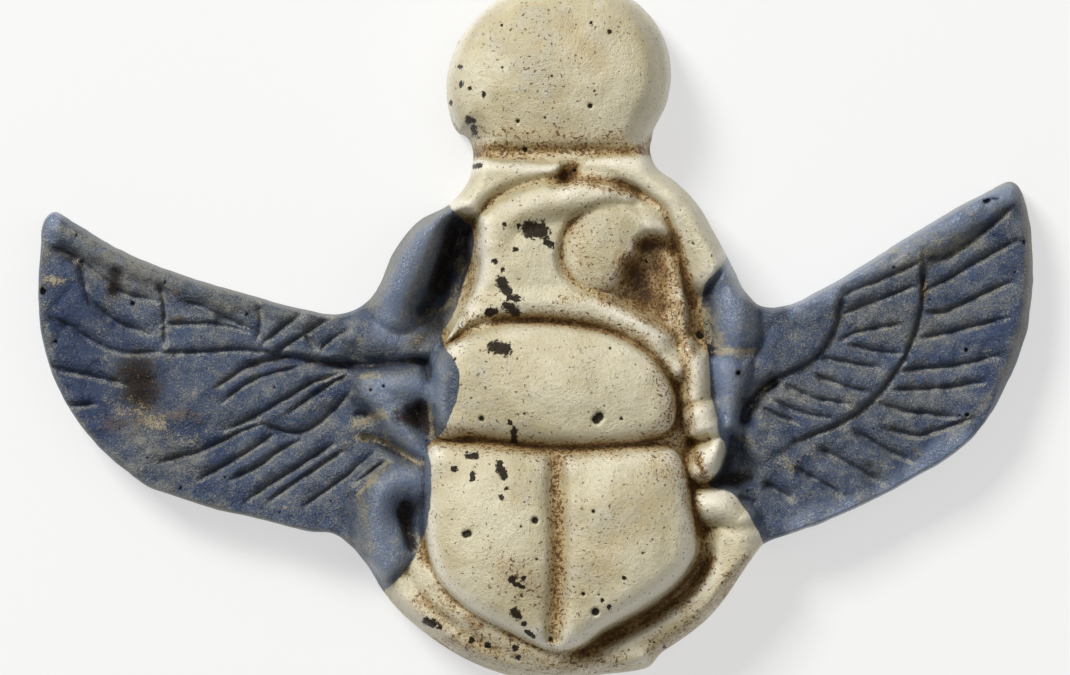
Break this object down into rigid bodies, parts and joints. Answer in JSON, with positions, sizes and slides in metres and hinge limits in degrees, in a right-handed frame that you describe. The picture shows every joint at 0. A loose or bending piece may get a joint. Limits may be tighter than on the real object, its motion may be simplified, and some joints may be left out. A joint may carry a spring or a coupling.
{
  "type": "scarab amulet",
  "caption": "Winged scarab holding a sun disk, cast in cream and blue glass, with a flat back; it lies loose, relief up.",
  "frame": {"origin": "middle of the outline's box, on the flat back", "axes": "+Z out of the relief, +Y towards the sun disk, +X along the wings towards the viewer's right"},
  "size_m": [0.0502, 0.0353, 0.0081],
  "materials": {
    "cast_glass": "satin"
  },
  "bodies": {
    "root": {"winged_scarab": "cast_glass"}
  },
  "joints": []
}
